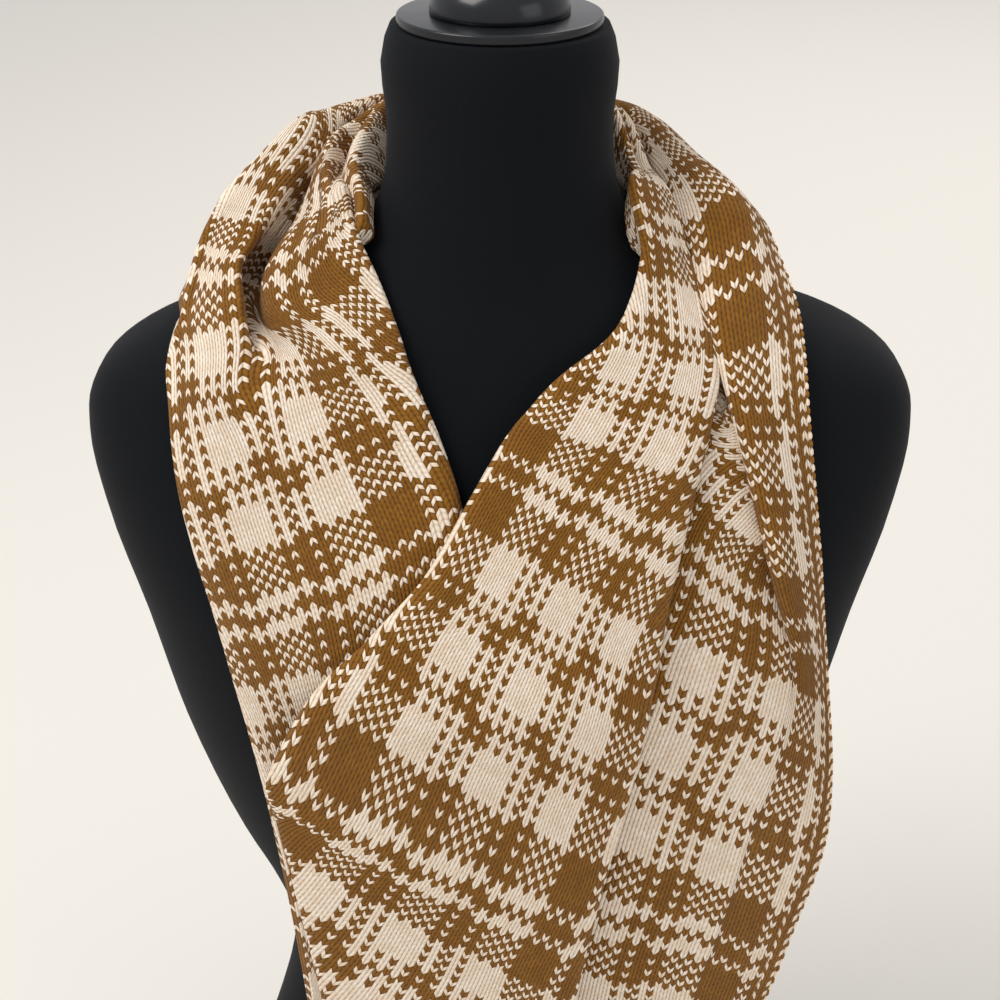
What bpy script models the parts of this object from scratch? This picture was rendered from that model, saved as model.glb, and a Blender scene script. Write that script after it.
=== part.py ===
"""A long knitted scarf draped round the neck of a limbless dress form.

Metres, +Z up.  The form stands on its flat underside at the origin and faces -Y, so the
viewer's right is +X.  The scarf is one long strip.  It is built in the stretches that show:
the right strand, whose broad front panel lies uppermost, the stretch round the back of the
neck, and the left strand, which passes under the front panel.

Every stretch is lofted through sections that follow the knitted rows across the strip.
"""
import math

import bmesh
import bpy
import numpy as np
from mathutils import Vector

# The dress form, a ring for each height that shapes it.
# height, half width, depth in front, depth behind, squareness of the ring
FORM_RINGS = (
    (0.000, 0.1590, 0.092, 0.098, 2.3),
    (0.006, 0.1620, 0.095, 0.101, 2.3),
    (0.050, 0.1630, 0.096, 0.103, 2.3),
    (0.110, 0.1480, 0.090, 0.098, 2.3),
    (0.158, 0.1325, 0.084, 0.090, 2.2),
    (0.196, 0.1225, 0.080, 0.085, 2.2),
    (0.235, 0.1180, 0.080, 0.083, 2.2),
    (0.275, 0.1295, 0.088, 0.086, 2.2),
    (0.317, 0.1460, 0.100, 0.090, 2.3),
    (0.392, 0.1690, 0.116, 0.098, 2.4),
    (0.452, 0.1830, 0.117, 0.104, 2.4),
    (0.512, 0.1990, 0.101, 0.104, 2.5),
    (0.545, 0.2035, 0.089, 0.098, 2.5),
    (0.565, 0.2005, 0.081, 0.091, 2.5),
    (0.580, 0.1895, 0.075, 0.084, 2.5),
    (0.593, 0.1680, 0.070, 0.077, 2.4),
    (0.604, 0.1360, 0.066, 0.071, 2.3),
    (0.614, 0.1110, 0.062, 0.066, 2.2),
    (0.625, 0.0870, 0.058, 0.061, 2.1),
    (0.640, 0.0675, 0.055, 0.057, 2.0),
    (0.660, 0.0565, 0.053, 0.054, 2.0),
    (0.690, 0.0525, 0.051, 0.053, 2.0),
    (0.732, 0.0525, 0.051, 0.053, 2.0),
    (0.738, 0.0500, 0.049, 0.051, 2.0),
)
FORM_RING_POINTS = 44
SEAM_GAP = 0.0003

# The cap on the neck: a flat disc, and a low dome on it.
CAP_RADIUS = 0.047
CAP_THICKNESS = 0.0046
KNOB_RADIUS = 0.032
KNOB_HEIGHT = 0.022

# The knitted cloth.
CLOTH_THICKNESS = 0.003
COURSES_PER_ROW = 6.5
CLOSE_ROWS = 3.3             # knitted rows for each row of the loft on the shoulders
LAST_CLOSE_COURSE = 22
UNDER_LIFT = 0.0046          # middle of a layer that lies next to the form
LEFT_TOP_LIFT = 0.0086       # middle of the left strand's upper layer
LAYER_STEP = 0.0047          # from the middle of one folded layer to the next
FOLD_REACH = 0.0024          # how far a fold's rounded edge stands past its layers
CLEAR_OF_FORM = 0.0034       # least distance of the cloth's middle from the form

# The right strand, a row for each knitted row of the strip, counted from the shoulder down.
# course, then across and height of: the side edge, the narrow band's inner edge,
# the ridge of the long pleat, and the front panel's slanting edge
RIGHT_SECTIONS = (
    (-17, 0.143, 0.617, 0.089, 0.641, 0.080, 0.662, 0.059, 0.673),
    (-4, 0.142, 0.600, 0.097, 0.610, 0.088, 0.632, 0.066, 0.643),
    (9, 0.141, 0.575, 0.106, 0.581, 0.095, 0.606, 0.055, 0.617),
    (22, 0.146, 0.534, 0.117, 0.542, 0.093, 0.581, 0.027, 0.597),
    (36, 0.152, 0.490, 0.129, 0.498, 0.084, 0.545, 0.007, 0.577),
    (49, 0.160, 0.436, 0.142, 0.452, 0.074, 0.502, -0.011, 0.550),
    (62, 0.168, 0.376, 0.139, 0.407, 0.067, 0.458, -0.032, 0.516),
    (75, 0.168, 0.328, 0.125, 0.363, 0.059, 0.410, -0.058, 0.487),
    (89, 0.153, 0.277, 0.114, 0.314, 0.047, 0.352, -0.094, 0.443),
    (95, 0.147, 0.258, 0.109, 0.295, 0.042, 0.325, -0.110, 0.405),
    (102, 0.140, 0.239, 0.102, 0.272, 0.037, 0.295, -0.107, 0.385),
    (113, 0.131, 0.205, 0.096, 0.237, 0.032, 0.262, -0.098, 0.332),
    (124, 0.124, 0.172, 0.090, 0.203, 0.027, 0.232, -0.089, 0.274),
    (142, 0.114, 0.116, 0.082, 0.147, 0.022, 0.172, -0.082, 0.212),
    (160, 0.106, 0.060, 0.075, 0.090, 0.018, 0.113, -0.077, 0.152),
)
# How the right strand's layers lie.
# course, lift of the side edge, lift of the band's inner edge, how far the cloth tucks back
# under the band, width of the pleat hidden under the ridge, lift of the front panel,
# width turned under at its edge, and how far forward side, band, ridge and edge stand there
RIGHT_LAYERS = (
    (-17, 0.006, 0.013, -0.002, 0.003, 0.012, 0.012, 0.012, 0.022, 0.018, 0.030),
    (-4, 0.006, 0.013, 0.000, 0.003, 0.012, 0.012, 0.040, 0.058, 0.034, 0.043),
    (9, 0.006, 0.013, 0.003, 0.004, 0.013, 0.014, 0.066, 0.079, 0.064, 0.062),
    (22, 0.006, 0.014, 0.006, 0.012, 0.014, 0.016, 0.000, 0.000, 0.000, 0.000),
    (36, 0.006, 0.013, 0.005, 0.018, 0.016, 0.018, 0.000, 0.000, 0.000, 0.000),
    (49, 0.006, 0.009, -0.002, 0.022, 0.018, 0.020, 0.000, 0.000, 0.000, 0.000),
    (62, 0.006, 0.007, -0.006, 0.024, 0.0195, 0.020, 0.000, 0.000, 0.000, 0.000),
    (160, 0.006, 0.006, -0.006, 0.020, 0.0195, 0.022, 0.000, 0.000, 0.000, 0.000),
)

NECK_COLLAR = 0.0588         # how far the cloth's innermost layer lies from the neck's axis
# How far the band arches out and up at its first row, on top of the shoulder.
BAND_ARCH = (0.009, 0.0135)
SHALLOWER_VALLEY = 0.004     # how much less deep the valley beside the band is there

# The left strand, in the same way.
# course, then across and height of: the outer fold, the lip of the band, the valley,
# the middle of the inner part, and its inner fold
LEFT_SECTIONS = (
    (-24, -0.131, 0.656, -0.109, 0.652, -0.097, 0.640, -0.086, 0.655, -0.073, 0.665),
    (-17, -0.138, 0.643, -0.115, 0.643, -0.101, 0.628, -0.088, 0.650, -0.071, 0.660),
    (-10, -0.144, 0.627, -0.121, 0.634, -0.106, 0.620, -0.092, 0.637, -0.069, 0.654),
    (-4, -0.148, 0.610, -0.119, 0.622, -0.108, 0.612, -0.090, 0.622, -0.064, 0.645),
    (3, -0.154, 0.592, -0.117, 0.605, -0.105, 0.602, -0.080, 0.612, -0.055, 0.629),
    (9, -0.152, 0.578, -0.119, 0.589, -0.104, 0.593, -0.074, 0.600, -0.048, 0.615),
    (16, -0.150, 0.555, -0.118, 0.568, -0.098, 0.575, -0.068, 0.587, -0.042, 0.599),
    (29, -0.143, 0.518, -0.112, 0.531, -0.089, 0.540, -0.059, 0.554, -0.029, 0.570),
    (42, -0.133, 0.480, -0.103, 0.492, -0.080, 0.502, -0.048, 0.518, -0.018, 0.536),
    (55, -0.124, 0.441, -0.097, 0.452, -0.075, 0.461, -0.044, 0.475, -0.014, 0.492),
    (68, -0.116, 0.400, -0.091, 0.410, -0.070, 0.418, -0.041, 0.430, -0.013, 0.444),
    (90, -0.106, 0.330, -0.083, 0.338, -0.063, 0.345, -0.037, 0.355, -0.012, 0.366),
    (115, -0.098, 0.250, -0.077, 0.256, -0.058, 0.262, -0.034, 0.270, -0.010, 0.279),
    (140, -0.093, 0.170, -0.073, 0.175, -0.054, 0.180, -0.031, 0.187, -0.008, 0.195),
    (163, -0.090, 0.097, -0.070, 0.102, -0.052, 0.106, -0.029, 0.112, -0.007, 0.118),
)
# course, how far the outer fold stands forward, then lip, valley, middle and inner fold;
# lift of the lip, of the valley, of the middle, and how far the hidden layer is tucked in
LEFT_LAYERS = (
    (-24, -0.006, 0.014, 0.006, 0.014, 0.018, 0.010, 0.004, 0.010, -0.016),
    (-17, 0.002, 0.021, 0.010, 0.025, 0.024, 0.010, 0.004, 0.011, -0.015),
    (-10, 0.014, 0.033, 0.018, 0.041, 0.032, 0.010, 0.004, 0.012, -0.014),
    (-4, 0.030, 0.047, 0.032, 0.052, 0.042, 0.010, 0.004, 0.012, -0.012),
    (3, 0.046, 0.060, 0.053, 0.064, 0.052, 0.010, 0.0045, 0.012, -0.008),
    (9, 0.060, 0.070, 0.067, 0.073, 0.063, 0.010, 0.007, 0.011, 0.004),
    (16, 0.000, 0.000, 0.000, 0.000, 0.073, 0.0090, 0.0082, 0.0095, 0.018),
    (29, 0.000, 0.000, 0.000, 0.000, 0.000, 0.0082, 0.0082, 0.0082, 0.032),
    (42, 0.000, 0.000, 0.000, 0.000, 0.000, 0.0082, 0.0082, 0.0082, 0.036),
    (163, 0.000, 0.000, 0.000, 0.000, 0.000, 0.0082, 0.0082, 0.0082, 0.036),
)

# The stretch round the back of the neck: its section behind the neck, from the lower edge
# up over the top and down inside.  distance from the neck's axis, height
# Then the same eight points over the top of a shoulder.
NECK_BACK_PROFILE = (
    (0.116, 0.588),
    (0.113, 0.626),
    (0.102, 0.658),
    (0.087, 0.681),
    (0.072, 0.690),
    (0.0615, 0.685),
    (0.0585, 0.672),
    (0.0580, 0.645),
)
NECK_SHOULDER_PROFILE = (
    (0.146, 0.608),
    (0.137, 0.629),
    (0.120, 0.651),
    (0.100, 0.666),
    (0.084, 0.672),
    (0.070, 0.672),
    (0.0600, 0.672),
    (0.0585, 0.650),
)
# The same section at turns from the front toward +X, its courses counted back from the right.
# course, turn, how much wider the outer points spread, how much lower the lower edge hangs,
# and the share of the shoulder's profile
NECK_TURNS = (
    (27, 98.0, 0.97, 0.000, 0.9),
    (42, 114.0, 1.00, 0.000, 0.25),
    (62, 146.0, 1.03, 0.004, 0.0),
    (85, 180.0, 1.08, 0.008, 0.0),
    (108, 214.0, 1.12, 0.004, 0.0),
    (130, 243.0, 1.16, 0.000, 0.1),
    (145, 258.0, 1.05, 0.000, 0.75),
)
NECK_ENDS = (17, 156)        # its courses at the right and at the left strand


def smooth_at(rows, course):
    """Every column of a table at one course, on a smooth curve through its rows."""
    table = np.array(rows, float)
    knots = table[:, 0]
    slopes = np.diff(table, axis=0) / np.diff(knots)[:, None]
    lean = np.empty_like(table)
    lean[0] = slopes[0]
    lean[-1] = slopes[-1]
    before = np.diff(knots)[:-1, None]
    after = np.diff(knots)[1:, None]
    lean[1:-1] = (slopes[:-1] * after + slopes[1:] * before) / (before + after)
    i = int(np.clip(np.searchsorted(knots, course, side="right") - 1, 0, len(knots) - 2))
    width = knots[i + 1] - knots[i]
    t = (course - knots[i]) / width
    value = (2 * t**3 - 3 * t**2 + 1) * table[i] + (t**3 - 2 * t**2 + t) * width * lean[i]
    value = value + (3 * t**2 - 2 * t**3) * table[i + 1] + (t**3 - t**2) * width * lean[i + 1]
    return value[1:]


def smooth_through(points, steps):
    """Points on a smooth curve through the given ones, with a number of steps for each span."""
    points = np.array(points)
    spans = np.sqrt(np.linalg.norm(np.diff(points, axis=0), axis=1))
    knots = np.concatenate([[0.0], np.cumsum(spans)])
    rows = np.column_stack([knots, points])
    places = [knots[0]]
    for i, count in enumerate(steps):
        places.extend(np.linspace(knots[i], knots[i + 1], count + 1)[1:])
    return np.array([smooth_at(rows, place) for place in places])


RINGS = np.array(FORM_RINGS)


def ring_at(height):
    """Half width, depth in front, depth behind and squareness of the form at a height."""
    return [np.interp(height, RINGS[:, 0], RINGS[:, k]) for k in range(1, 5)]


def front_of_form(across, height):
    """How far the form's front stands forward of its middle plane."""
    half, depth, _, square = ring_at(height)
    reach = np.minimum(np.abs(across) / half, 1.0)
    return depth * (1.0 - reach**square) ** (1.0 / square)


def hanging_depth(across, height):
    """Forward reach of plumb cloth: the form's fullest place at or above a height."""
    heights = np.linspace(height, max(height, 0.66), 40)
    return float(np.max(front_of_form(across, heights)))


def on_front(across, height, lift, forward=0.0):
    """A point of the cloth on the front of the form, or standing off it near the neck."""
    depth = hanging_depth(across, height) + lift
    return np.array([across, -max(depth, forward), height])


def mix(a, b, share):
    return a + (b - a) * share


def form_level(point):
    """Less than one inside the form, one on its surface."""
    half, front, behind, square = ring_at(point[2])
    depth = front if point[1] < 0.0 else behind
    return (abs(point[0]) / half) ** square + (abs(point[1]) / depth) ** square


def clear_form(point, margin=CLEAR_OF_FORM):
    """The point itself, or where it comes to lie once it is pushed out of the form."""
    point = np.array(point, float)
    if point[2] > FORM_RINGS[-1][0]:
        return point
    probe = 0.0005
    for _ in range(12):
        level = form_level(point)
        steps = np.eye(3) * probe
        slope = np.array([form_level(point + step) - form_level(point - step) for step in steps])
        slope = slope / (2.0 * probe)
        steepness = max(float(np.linalg.norm(slope)), 4.0)
        distance = (level - 1.0) / steepness
        if distance >= margin or distance > 0.02:
            break
        point = point + slope / steepness * min(margin - distance + 0.0001, 0.004)
    return point


def right_section(course):
    """Points across the right strand, from its side edge to the front panel's turned edge."""
    side_x, side_z, band_x, band_z, ridge_x, ridge_z, edge_x, edge_z = smooth_at(
        RIGHT_SECTIONS, course)
    (side_lift, band_lift, tuck, pleat, panel_lift, turn, side_forward, band_forward,
     ridge_forward, edge_forward) = smooth_at(RIGHT_LAYERS, course)
    folded = float(np.clip((course - 6.0) / 16.0, 0.0, 1.0))
    along = np.array([ridge_x - edge_x, ridge_z - edge_z])
    along = along / np.linalg.norm(along)

    def beside_ridge(inward, lift):
        return on_front(ridge_x - along[0] * inward, ridge_z - along[1] * inward, lift)

    arch = float(np.clip((6.0 - course) / 23.0, 0.0, 1.0))
    outward = np.array([side_x - band_x, side_z - band_z])
    outward = outward / np.linalg.norm(outward)

    def from_band(reach, lift):
        return on_front(band_x + outward[0] * reach, band_z + outward[1] * reach,
                        lift, band_forward - (band_lift - lift))

    valley_lift = UNDER_LIFT + 0.0005 + SHALLOWER_VALLEY * arch
    valley = from_band(tuck, valley_lift)
    ridge_top = on_front(ridge_x, ridge_z, panel_lift, ridge_forward)
    middle_lift = mix(UNDER_LIFT, panel_lift, 0.5)
    pleated = [
        beside_ridge(pleat, UNDER_LIFT),
        beside_ridge(pleat + FOLD_REACH, mix(UNDER_LIFT, middle_lift, 0.5)),
        beside_ridge(pleat, middle_lift),
        beside_ridge(0.002, middle_lift),
        beside_ridge(-FOLD_REACH, mix(middle_lift, panel_lift, 0.5)),
    ]
    plain = [mix(valley, ridge_top, share) + np.array([0.0, 0.004 * (1.0 - share), 0.0])
             for share in (0.3, 0.42, 0.54, 0.66, 0.82)]
    hidden = [mix(a, b, folded) for a, b in zip(plain, pleated)]
    points = [
        on_front(side_x, side_z, side_lift, side_forward),
        on_front(mix(side_x, band_x, 0.5) + BAND_ARCH[0] * arch,
                 mix(side_z, band_z, 0.5) + BAND_ARCH[1] * arch, mix(side_lift, band_lift, 0.8),
                 mix(side_forward, band_forward, 0.6)),
        from_band(0.0042, band_lift),
        from_band(0.0, mix(band_lift, valley_lift, 0.45)),
        valley,
        on_front(*mix(valley, hidden[0], 0.5)[[0, 2]], UNDER_LIFT,
                 mix(-valley[1], ridge_forward, 0.2) - 0.002),
        *hidden,
        on_front(ridge_x - along[0] * 0.003, ridge_z - along[1] * 0.003, panel_lift, ridge_forward),
    ]
    for share in (0.3, 0.55, 0.8):
        forward = mix(ridge_forward, edge_forward, share)
        points.append(on_front(
            mix(ridge_x, edge_x, share), mix(ridge_z, edge_z, share), panel_lift, forward))
    inside = 0.003
    under = panel_lift - LAYER_STEP
    width = math.dist((ridge_x, ridge_z), (edge_x, edge_z))

    def from_edge(inward, lift):
        forward = mix(edge_forward, ridge_forward, max(inward, 0.0) / width)
        return on_front(edge_x + along[0] * inward, edge_z + along[1] * inward,
                        lift, forward - (panel_lift - lift))

    points.append(from_edge(inside, panel_lift))
    points.append(from_edge(-0.0005, mix(under, panel_lift, 0.5)))
    rolled = float(np.clip((-1.0 - course) / 12.0, 0.0, 1.0))
    collar = np.array([NECK_COLLAR, 0.006 - edge_forward, edge_z - 0.020])
    hanging = mix(np.array([edge_x, 0.003 - edge_forward, edge_z - 0.003]), collar, 0.3)
    points.append(mix(from_edge(inside, under), hanging, rolled))
    points.append(mix(from_edge(turn, under), collar, rolled))
    return points


RIGHT_STEPS = (2, 2, 1, 2, 2, 2, 1, 1, 1, 1, 1, 3, 3, 3, 3, 1, 1, 2)


def left_section(course, top=LEFT_TOP_LIFT):
    """Points across the left strand, from the layer tucked under its outer fold."""
    (outer_x, outer_z, lip_x, lip_z, valley_x, valley_z,
     middle_x, middle_z, inner_x, inner_z) = smooth_at(LEFT_SECTIONS, course)
    (outer_forward, lip_forward, valley_forward, middle_forward, inner_forward,
     lip_lift, valley_lift, middle_lift, tuck) = smooth_at(LEFT_LAYERS, course)
    under = top - LAYER_STEP
    slope = np.array([lip_x - outer_x, lip_z - outer_z])
    slope = slope / np.linalg.norm(slope)
    lean = np.array([inner_x - middle_x, inner_z - middle_z])
    lean = lean / np.linalg.norm(lean)

    def from_outer(inward, lift, forward):
        return on_front(outer_x + slope[0] * inward, outer_z + slope[1] * inward, lift, forward)

    def from_inner(inward, lift, forward):
        return on_front(inner_x - lean[0] * inward, inner_z - lean[1] * inward, lift, forward)

    inner = from_inner(0.0, top, inner_forward - LAYER_STEP)
    collar = np.array([-NECK_COLLAR, -max(inner_forward - 0.004, 0.0), inner_z - 0.009])
    rolled = float(np.clip((-4.0 - course) / 6.0, 0.0, 1.0))
    if tuck < 0.003:
        share = float(np.clip((0.003 - tuck) / 0.018, 0.0, 1.0))
        hem = from_outer(tuck, under, outer_forward - 0.010)
        hem[2] = mix(hem[2], 0.600, share)
        hem[1] = hem[1] + 0.012 * share
        start = [hem, mix(hem, from_outer(0.001, under + 0.002, outer_forward), 0.55)]
    else:
        start = [from_outer(tuck, under, 0.0), from_outer(0.003, under, 0.0)]
    return [
        *start,
        from_outer(0.0, mix(under, top, 0.5), outer_forward),
        from_outer(0.004, top, outer_forward + 0.001),
        on_front(mix(outer_x, lip_x, 0.55), mix(outer_z, lip_z, 0.55) + 0.001, top + 0.001,
                 mix(outer_forward, lip_forward, 0.6) + 0.004),
        on_front(lip_x, lip_z, lip_lift, lip_forward),
        on_front(valley_x, valley_z, valley_lift, valley_forward),
        on_front(middle_x, middle_z, middle_lift, middle_forward),
        on_front(mix(middle_x, inner_x, 0.6), mix(middle_z, inner_z, 0.6), top,
                 mix(middle_forward, inner_forward, 0.6) + 0.001),
        from_inner(0.0025, top, inner_forward),
        from_inner(-0.0006, mix(under, top, 0.5), inner_forward - LAYER_STEP / 2),
        mix(from_inner(0.0025, under, inner_forward - LAYER_STEP), mix(inner, collar, 0.5), rolled),
        mix(from_inner(0.020, under, inner_forward - LAYER_STEP), collar, rolled),
    ]


LEFT_STEPS = (3, 1, 1, 3, 4, 4, 4, 4, 3, 1, 1, 3)


def neck_section(course):
    """Points of the neck stretch behind the neck."""
    turn, spread, sag, shoulder = smooth_at(NECK_TURNS, course)
    angle = math.radians(turn)
    profile = mix(np.array(NECK_BACK_PROFILE), np.array(NECK_SHOULDER_PROFILE), shoulder)
    points = []
    for i, (radius, height) in enumerate(profile):
        outward = float(np.clip((4.5 - i) / 3.0, 0.0, 1.0))
        reach = radius * (1.0 + (spread - 1.0) * outward)
        drop = sag * outward**2
        points.append(np.array([
            reach * math.sin(angle), -reach * math.cos(angle), height - drop]))
    return points


NECK_STEPS = (5, 4, 5, 5, 4, 4, 5)


def neck_rows(right_end, left_end):
    """Sections of the whole neck stretch, its ends being the first rows of the strands."""
    rows = [(NECK_ENDS[0], *np.ravel(right_end))]
    for course, *_ in NECK_TURNS:
        row = smooth_through(neck_section(course), NECK_STEPS)
        rows.append((course, *np.ravel(row)))
    rows.append((NECK_ENDS[1], *np.ravel(left_end)))
    return rows


def face_directions(strip):
    """The direction square to the cloth at each point of a grid."""
    across = np.gradient(strip, axis=1)
    along = np.gradient(strip, axis=0)
    square = np.cross(along, across)
    return square / np.linalg.norm(square, axis=2, keepdims=True)


def wall(name, middle, facing, material, collection):
    """A closed wall of cloth, half its thickness on each side of a grid of points."""
    rows, columns = middle.shape[:2]
    body = bmesh.new()
    outer, inner = [
        [[body.verts.new(Vector(corner)) for corner in row] for row in middle + facing * side]
        for side in (CLOTH_THICKNESS / 2, -CLOTH_THICKNESS / 2)]
    for i in range(rows - 1):
        for k in range(columns - 1):
            body.faces.new((outer[i][k], outer[i + 1][k], outer[i + 1][k + 1], outer[i][k + 1]))
            body.faces.new((inner[i][k], inner[i][k + 1], inner[i + 1][k + 1], inner[i + 1][k]))
    for i in range(rows - 1):
        body.faces.new((outer[i][0], inner[i][0], inner[i + 1][0], outer[i + 1][0]))
        body.faces.new((outer[i][-1], outer[i + 1][-1], inner[i + 1][-1], inner[i][-1]))
    for k in range(columns - 1):
        body.faces.new((outer[0][k], outer[0][k + 1], inner[0][k + 1], inner[0][k]))
        body.faces.new((outer[-1][k], inner[-1][k], inner[-1][k + 1], outer[-1][k + 1]))
    mesh = bpy.data.meshes.new(name)
    body.to_mesh(mesh)
    body.free()
    cloth = bpy.data.objects.new(name, mesh)
    collection.objects.link(cloth)
    cloth.data.materials.append(material)
    cloth.data.shade_smooth()
    return cloth


def strand_grid(section, steps, first, last):
    """Points over one strand, row by row, each clear of the form."""
    close = round((LAST_CLOSE_COURSE - first) / CLOSE_ROWS)
    wide = round((last - LAST_CLOSE_COURSE) / COURSES_PER_ROW)
    courses = [*np.linspace(first, LAST_CLOSE_COURSE, close + 1)[:-1],
               *np.linspace(LAST_CLOSE_COURSE, last, wide + 1)]
    grid = []
    for course in courses:
        row = smooth_through(section(course), steps)
        grid.append([clear_form(point) for point in row])
    return np.array(grid)


def shorten(rows):
    """The same rows with the first and the last drawn in by the seam's gap."""
    rows = rows.copy()
    for end, beside in ((0, 1), (-1, -2)):
        inward = rows[beside] - rows[end]
        rows[end] += inward / np.linalg.norm(inward, axis=1, keepdims=True) * SEAM_GAP
    return rows


def finish_material(name, colour, roughness, metallic=0.0):
    material = bpy.data.materials.new(name)
    material.use_nodes = True
    shader = material.node_tree.nodes["Principled BSDF"]
    shader.inputs["Base Color"].default_value = (*colour, 1.0)
    shader.inputs["Roughness"].default_value = roughness
    shader.inputs["Metallic"].default_value = metallic
    return material


def build_form(collection):
    """The limbless torso, a loft through its rings with flat ends."""
    jersey = finish_material("black jersey", (0.006, 0.007, 0.009), 0.85)
    body = bmesh.new()
    loops = []
    for height, half, front, behind, square in FORM_RINGS:
        loop = []
        for k in range(FORM_RING_POINTS):
            turn = 2.0 * math.pi * k / FORM_RING_POINTS
            sine = math.sin(turn)
            cosine = math.cos(turn)
            across = math.copysign(abs(sine) ** (2.0 / square), sine) * half
            depth = behind if cosine < 0.0 else front
            forward = math.copysign(abs(cosine) ** (2.0 / square), cosine) * depth
            loop.append(body.verts.new((across, -forward, height)))
        loops.append(loop)
    for lower, upper in zip(loops, loops[1:]):
        for k in range(FORM_RING_POINTS):
            after = (k + 1) % FORM_RING_POINTS
            body.faces.new((lower[k], lower[after], upper[after], upper[k]))
    body.faces.new(list(reversed(loops[0])))
    body.faces.new(loops[-1])
    mesh = bpy.data.meshes.new("dress_form")
    body.to_mesh(mesh)
    body.free()
    form = bpy.data.objects.new("dress_form", mesh)
    collection.objects.link(form)
    form.data.materials.append(jersey)
    form.data.shade_smooth()
    return form


def build_cap(collection):
    """The turned cap that closes the neck: a disc and a dome, in one profile each."""
    gloss = finish_material("glossy cap", (0.012, 0.013, 0.015), 0.18)
    seat = FORM_RINGS[-1][0] + SEAM_GAP
    rim = 0.0012
    top = seat + CAP_THICKNESS
    disc_profile = [(0.0, top)]
    disc_profile += [(CAP_RADIUS - rim, top), (CAP_RADIUS, top - rim)]
    disc_profile += [(CAP_RADIUS, seat + rim), (CAP_RADIUS - rim, seat), (0.0, seat)]
    dome_seat = top + SEAM_GAP
    dome_profile = [
        (KNOB_RADIUS * math.sin(turn), dome_seat + KNOB_HEIGHT * math.cos(turn) ** 0.8)
        for turn in np.linspace(0.0, math.pi / 2.0, 9)]
    dome_profile[-1] = (KNOB_RADIUS, dome_seat + 0.002)
    dome_profile += [(KNOB_RADIUS, dome_seat), (0.0, dome_seat)]
    for name, profile in (("neck_cap_disc", disc_profile), ("neck_cap_knob", dome_profile)):
        mesh = bpy.data.meshes.new(name)
        corners = [(radius, 0.0, height) for radius, height in profile]
        edges = [(i, i + 1) for i in range(len(corners) - 1)]
        mesh.from_pydata(corners, edges, [])
        piece = bpy.data.objects.new(name, mesh)
        collection.objects.link(piece)
        turned = piece.modifiers.new("turned", "SCREW")
        turned.steps = 40
        turned.render_steps = 40
        turned.use_merge_vertices = True
        turned.merge_threshold = 0.00001
        piece.data.materials.append(gloss)


def build_scarf(collection):
    """The knitted strip, one wall for each stretch that shows."""
    knit = finish_material("two colour knit", (0.52, 0.34, 0.19), 0.9)
    right = strand_grid(right_section, RIGHT_STEPS, RIGHT_SECTIONS[0][0], RIGHT_SECTIONS[-1][0])
    left = strand_grid(left_section, LEFT_STEPS, LEFT_SECTIONS[0][0], LEFT_SECTIONS[-1][0])
    sections = neck_rows(right[0], left[0])
    count = round((NECK_ENDS[1] - NECK_ENDS[0]) / COURSES_PER_ROW)
    neck = []
    for course in np.linspace(*NECK_ENDS, count + 1)[1:-1]:
        row = smooth_at(sections, course).reshape(-1, 3)
        neck.append([clear_form(point) for point in row])
    strip = np.concatenate([right[::-1], neck, left])
    facing = face_directions(strip)
    right_end = len(right)
    left_end = len(strip) - len(left)
    wall("scarf_right_strand", strip[:right_end], facing[:right_end], knit, collection)
    wall("scarf_left_strand", strip[left_end:], facing[left_end:], knit, collection)
    between = slice(right_end - 1, left_end + 1)
    wall("scarf_neck_stretch", shorten(strip[between]), facing[between], knit, collection)


for old in list(bpy.data.objects):
    bpy.data.objects.remove(old, do_unlink=True)
scarf_parts = bpy.data.collections.new("knit scarf on a dress form")
bpy.context.scene.collection.children.link(scarf_parts)
build_form(scarf_parts)
build_cap(scarf_parts)
build_scarf(scarf_parts)
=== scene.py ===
import math

import bpy
import numpy as np
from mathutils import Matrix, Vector


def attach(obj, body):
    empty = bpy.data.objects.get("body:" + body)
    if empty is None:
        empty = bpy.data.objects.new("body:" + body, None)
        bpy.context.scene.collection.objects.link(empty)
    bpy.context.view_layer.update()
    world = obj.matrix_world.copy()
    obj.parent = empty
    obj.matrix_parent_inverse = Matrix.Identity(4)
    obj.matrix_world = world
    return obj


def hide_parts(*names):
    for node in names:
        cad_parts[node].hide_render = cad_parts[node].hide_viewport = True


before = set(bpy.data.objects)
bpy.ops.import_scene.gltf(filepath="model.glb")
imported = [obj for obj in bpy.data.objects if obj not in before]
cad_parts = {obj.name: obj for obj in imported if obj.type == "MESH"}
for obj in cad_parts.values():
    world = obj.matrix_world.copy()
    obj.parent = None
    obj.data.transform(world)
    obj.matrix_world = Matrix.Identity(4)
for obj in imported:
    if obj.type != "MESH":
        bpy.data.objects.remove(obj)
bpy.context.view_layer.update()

# The torso: a hollow moulded display form with no arms, head or legs, cut flat below the hip.
# A cover of black stretch jersey is pulled smooth over it and tucked in under the neck cap.

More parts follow.
